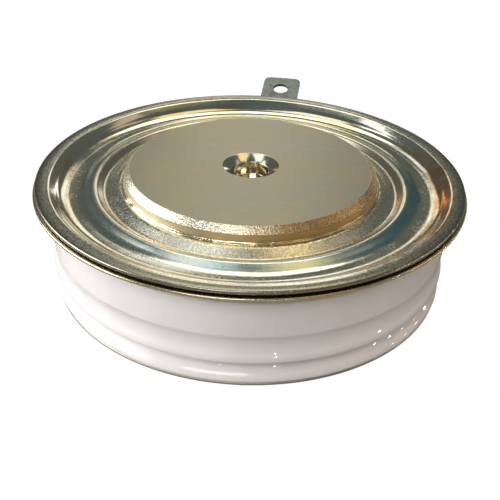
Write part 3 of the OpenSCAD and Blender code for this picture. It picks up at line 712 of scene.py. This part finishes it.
class CAPSULE_OT_tabs(bpy.types.Operator):
    """Build the auxiliary cathode tab and the gate tab, and finish the gate tube"""

    bl_idname = "capsule.tabs"
    bl_label = "Terminal tabs"

    def execute(self, context):
        sizes = context.scene.capsule_sizes
        # Steel strip, dip-tinned after stamping: dull grey, with blotches half a millimetre wide.
        tinned = metal_finish("Dull tinned steel", "#777c7b", 0.4, 0.5, 0.02, spread=0.2)
        low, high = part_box("sense_tab")
        slant = sizes.sense_slant
        lift = sizes.tab_sheet * math.sin(slant)
        sense = tab_mesh((high.y - low.y - lift) / math.cos(slant), sizes)
        start = Vector((0, low.y + lift, low.z))
        sense.transform(Matrix.Translation(start) @ Matrix.Rotation(slant, 4, "X"))
        add_piece("auxiliary_tab", sense, tinned, "sense_tab")
        low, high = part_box("gate_tab")
        gate = tab_mesh(high.y - low.y, sizes)
        gate.transform(Matrix.Translation(Vector((0, low.y, low.z))))
        add_piece("gate_terminal_tab", gate, tinned, "gate_tab")
        # Nickel plated on drawn tube: smooth and softly bright.
        finish_node("gate_tube", metal_finish("Plated tube", "#a9a697", 0.25, 0.4, 0.01))
        return {"FINISHED"}


class CAPSULE_OT_inner(bpy.types.Operator):
    """Finish the sealed pieces inside the capsule"""

    bl_idname = "capsule.inner"
    bl_label = "Inner pieces"

    def execute(self, context):
        # Molybdenum, ground flat: cool grey and faintly frosted.
        ground = metal_finish("Ground molybdenum", "#8b8e93", 0.32, 0.2, 0.006)
        # Silver, rolled soft: pale, smooth and slightly veiled.
        silver = metal_finish("Soft silver", "#dcdad2", 0.28, 0.3, 0.004)
        # Fluoropolymer, turned from rod: milky and waxy.
        fluoropolymer = moulded_finish("Turned fluoropolymer", "#ece8dc", 0.42, 0.25, 0.004)
        finishes = {
            "cathode_plate": ground,
            "anode_plate": ground,
            "anode_foil": silver,
            "gate_lead": silver,
            # Gold, electroplated on a turned pin: warm and bright.
            "gate_pin": metal_finish("Gold-plated plunger", "#d9b56a", 0.2, 0.2, 0.003),
            # Spring steel, cold drawn: bright, with hardly any grain.
            "gate_spring": metal_finish("Bright spring wire", "#a7a8a6", 0.25, 0.15, 0.003),
            "gate_insulator": fluoropolymer,
            "gate_guide": fluoropolymer,
            "lead_sleeve": fluoropolymer,
            "locating_ring": fluoropolymer,
            # Silicon, lapped and etched: a dark grey half mirror.
            "silicon_wafer": metal_finish("Lapped silicon", "#4c5055", 0.2, 0.2, 0.002),
            # Silicone, cast as a bead and cured: brick red with a soft gloss.
            "wafer_seal": moulded_finish("Cured silicone", "#a5452f", 0.4, 0.3, 0.01),
        }
        for node, material in finishes.items():
            finish_node(node, material)
        return {"FINISHED"}


# Softboxes that face the capsule: degrees to the left of the camera's view, elevation in degrees, distance,
# width and height in metres, colour, and radiance, where 1 looks white in a mirror.
SOFTBOXES = {
    "Key window": (90, 22, 0.5, 0.5, 0.3, "#ffffff", 7.0),
    "Left pane": (4.0, 21, 0.5, 0.056, 0.18, "#fff8e4", 1.5),
    "Right pane": (-4.2, 24, 0.5, 0.058, 0.14, "#fffffa", 1.7),
    "Upper pane": (12, 39, 0.5, 0.07, 0.09, "#ffffff", 1.4),
    "Low right pane": (-13, 5, 0.5, 0.085, 0.08, "#ffffff", 2.0),
    "Low left pane": (13, 5, 0.5, 0.085, 0.08, "#ffbd80", 1.1),
    "High back": (0, 57, 0.5, 0.26, 0.15, "#fffae4", 2.9),
    "Overhead left": (49, 72, 0.5, 0.15, 0.15, "#ffffff", 1.6),
    "Overhead right": (-49, 72, 0.5, 0.15, 0.15, "#ffe2a4", 1.5),
    "High left": (62, 52, 0.5, 0.08, 0.12, "#ffffff", 2.6),
    "High right": (-62, 52, 0.5, 0.1, 0.12, "#ffe4cc", 0.7),
    "Warm side": (-82, 27, 0.5, 0.2, 0.22, "#ffcf9c", 1.2),
    "Front fill": (162, 48, 0.7, 0.35, 0.3, "#f7f5f3", 6.0),
    "Warm fill": (222, 46, 0.7, 0.35, 0.3, "#ffc060", 0.9),
}
# Small round lamps, low round the front, that the glaze mirrors as white dots: degrees to the left of the
# camera's view for each, and the other values, as in SOFTBOXES, for all.
ROW_TURNS = (167, 195, 252, 262, 272, 282, 293)
ROW_LAMP = (4, 0.9, 0.032, 0.03, "#ffffff", 80)


def direction(azimuth, elevation):
    """Unit vector towards an azimuth and an elevation in radians."""
    flat = math.cos(elevation)
    return Vector((flat * math.cos(azimuth), flat * math.sin(azimuth), math.sin(elevation)))


class CAPSULE_OT_studio(bpy.types.Operator):
    """Set the camera, the softboxes, the white floor and the background"""

    bl_idname = "capsule.studio"
    bl_label = "Studio"

    def execute(self, context):
        scene = context.scene
        studio = scene.capsule_studio
        scene.view_settings.view_transform = "Standard"
        self.set_camera(scene, studio)
        self.set_floor(scene, studio)
        self.set_world(scene, studio)
        for name, values in SOFTBOXES.items():
            self.add_lamp(scene, studio, name, "RECTANGLE", *values)
        for i, turn in enumerate(ROW_TURNS):
            self.add_lamp(scene, studio, f"Row lamp {i + 1}", "ELLIPSE", turn, *ROW_LAMP)
        return {"FINISHED"}

    def add_lamp(self, scene, studio, name, shape, turn, elevation, distance, width, height, code, radiance):
        """Area lamp that faces the capsule, from the values that SOFTBOXES lists."""
        lamp = bpy.data.lights.new(name, "AREA")
        lamp.shape = shape
        lamp.size, lamp.size_y = width, height
        lamp.color = linear(code)[:3]
        # Blender spreads a lamp's watts over pi times its area, and an ellipse fills pi/4 of its box.
        lamp.energy = radiance * math.pi * width * height * (math.pi / 4 if shape == "ELLIPSE" else 1)
        holder = bpy.data.objects.new(name, lamp)
        away = studio.azimuth + math.pi
        towards = direction(away + math.radians(turn), math.radians(elevation))
        holder.location = towards * distance
        holder.rotation_euler = towards.to_track_quat("Z", "Y").to_euler()
        scene.collection.objects.link(holder)

    def set_camera(self, scene, studio):
        """Camera aimed below the rim's centre, as in the photograph."""
        holder = bpy.data.objects.new("Camera", bpy.data.cameras.new("Camera"))
        holder.data.lens = studio.lens
        holder.data.sensor_width = 36.0
        holder.data.clip_start = 5 * MM
        towards = direction(studio.azimuth, studio.elevation)
        holder.location = Vector((0, 0, RIM_Z * MM)) + towards * studio.distance
        look = direction(studio.azimuth - studio.swing, studio.elevation + studio.dip)
        aim = look.to_track_quat("Z", "Y").to_matrix().to_4x4()
        holder.rotation_euler = (aim @ Matrix.Rotation(studio.roll, 4, "Z")).to_euler()
        scene.collection.objects.link(holder)
        scene.camera = holder

    def set_floor(self, scene, studio):
        """Large floor, 3 m wide, that keeps the object's shadow and shows white to the camera."""
        bm = bmesh.new()
        bmesh.ops.create_grid(bm, x_segments=1, y_segments=1, size=1.5)
        mesh = bpy.data.meshes.new("Floor")
        bm.to_mesh(mesh)
        bm.free()
        floor = bpy.data.objects.new("Floor", mesh)
        scene.collection.objects.link(floor)
        # Uncoated paper, pressed matt: no gloss. The camera sees white with a twentieth of its shading,
        # which is the shadow.
        material = bpy.data.materials.new("White paper floor")
        material.use_nodes = True
        material.node_tree.nodes.clear()
        node = partial(add_node, material.node_tree)
        paper = node("BsdfDiffuse", (studio.floor,))
        glow = node("Emission", ((1, 1, 1, 1), 1.05))
        share = node("Math", (node("LightPath", output="Is Camera Ray"), 0.95), operation="MULTIPLY")
        node("OutputMaterial", (node("MixShader", (share, paper, glow)),))
        mesh.materials.append(material)

    def set_world(self, scene, studio):
        """White to the camera; to reflections and light, a warm grey room under a blue-grey ceiling."""
        world = bpy.data.worlds.new("Room")
        world.use_nodes = True
        world.node_tree.nodes.clear()
        node = partial(add_node, world.node_tree)
        height = node("SeparateXYZ", (node("TexCoord", output="Generated"),), "Z")
        shade = coated(node, studio.walls, ((node("MapRange", (height, 0.1, 0.85)), 1.0, studio.ceiling),))
        room = node("Background", (shade,))
        white = node("Background", ((1, 1, 1, 1), 1.0))
        seen = node("LightPath", output="Is Camera Ray")
        node("OutputWorld", (node("MixShader", (seen, room, white)),))
        scene.world = world


BUILD_STEPS = (CAPSULE_OT_poles, CAPSULE_OT_lid, CAPSULE_OT_weld_ring, CAPSULE_OT_ceramic, CAPSULE_OT_flange,
               CAPSULE_OT_brazes, CAPSULE_OT_tabs, CAPSULE_OT_inner, CAPSULE_OT_studio)


class CAPSULE_PT_build(bpy.types.Panel):
    """Buttons for the build steps, and the settings that they use"""

    bl_label = "Press-pack capsule"
    bl_idname = "CAPSULE_PT_build"
    bl_space_type = "VIEW_3D"
    bl_region_type = "UI"
    bl_category = "Capsule"

    def draw(self, context):
        for step in BUILD_STEPS:
            self.layout.operator(step.bl_idname)
        scene = context.scene
        for group in (scene.capsule_sizes, scene.capsule_colours, scene.capsule_studio):
            box = self.layout.box()
            for name in group.bl_rna.properties.keys():
                if name not in {"rna_type", "name"}:
                    box.prop(group, name)


CLASSES = (CapsuleSizes, CapsuleColours, StudioSettings) + BUILD_STEPS + (CAPSULE_PT_build,)


def register():
    for cls in CLASSES:
        bpy.utils.register_class(cls)
    bpy.types.Scene.capsule_sizes = PointerProperty(type=CapsuleSizes)
    bpy.types.Scene.capsule_colours = PointerProperty(type=CapsuleColours)
    bpy.types.Scene.capsule_studio = PointerProperty(type=StudioSettings)


def unregister():
    del bpy.types.Scene.capsule_studio
    del bpy.types.Scene.capsule_colours
    del bpy.types.Scene.capsule_sizes
    for cls in reversed(CLASSES):
        bpy.utils.unregister_class(cls)


def main():
    """Builds every piece and the stage."""
    register()
    for step in BUILD_STEPS:
        group, name = step.bl_idname.split(".")
        getattr(getattr(bpy.ops, group), name)()


if __name__ == "__main__":
    main()
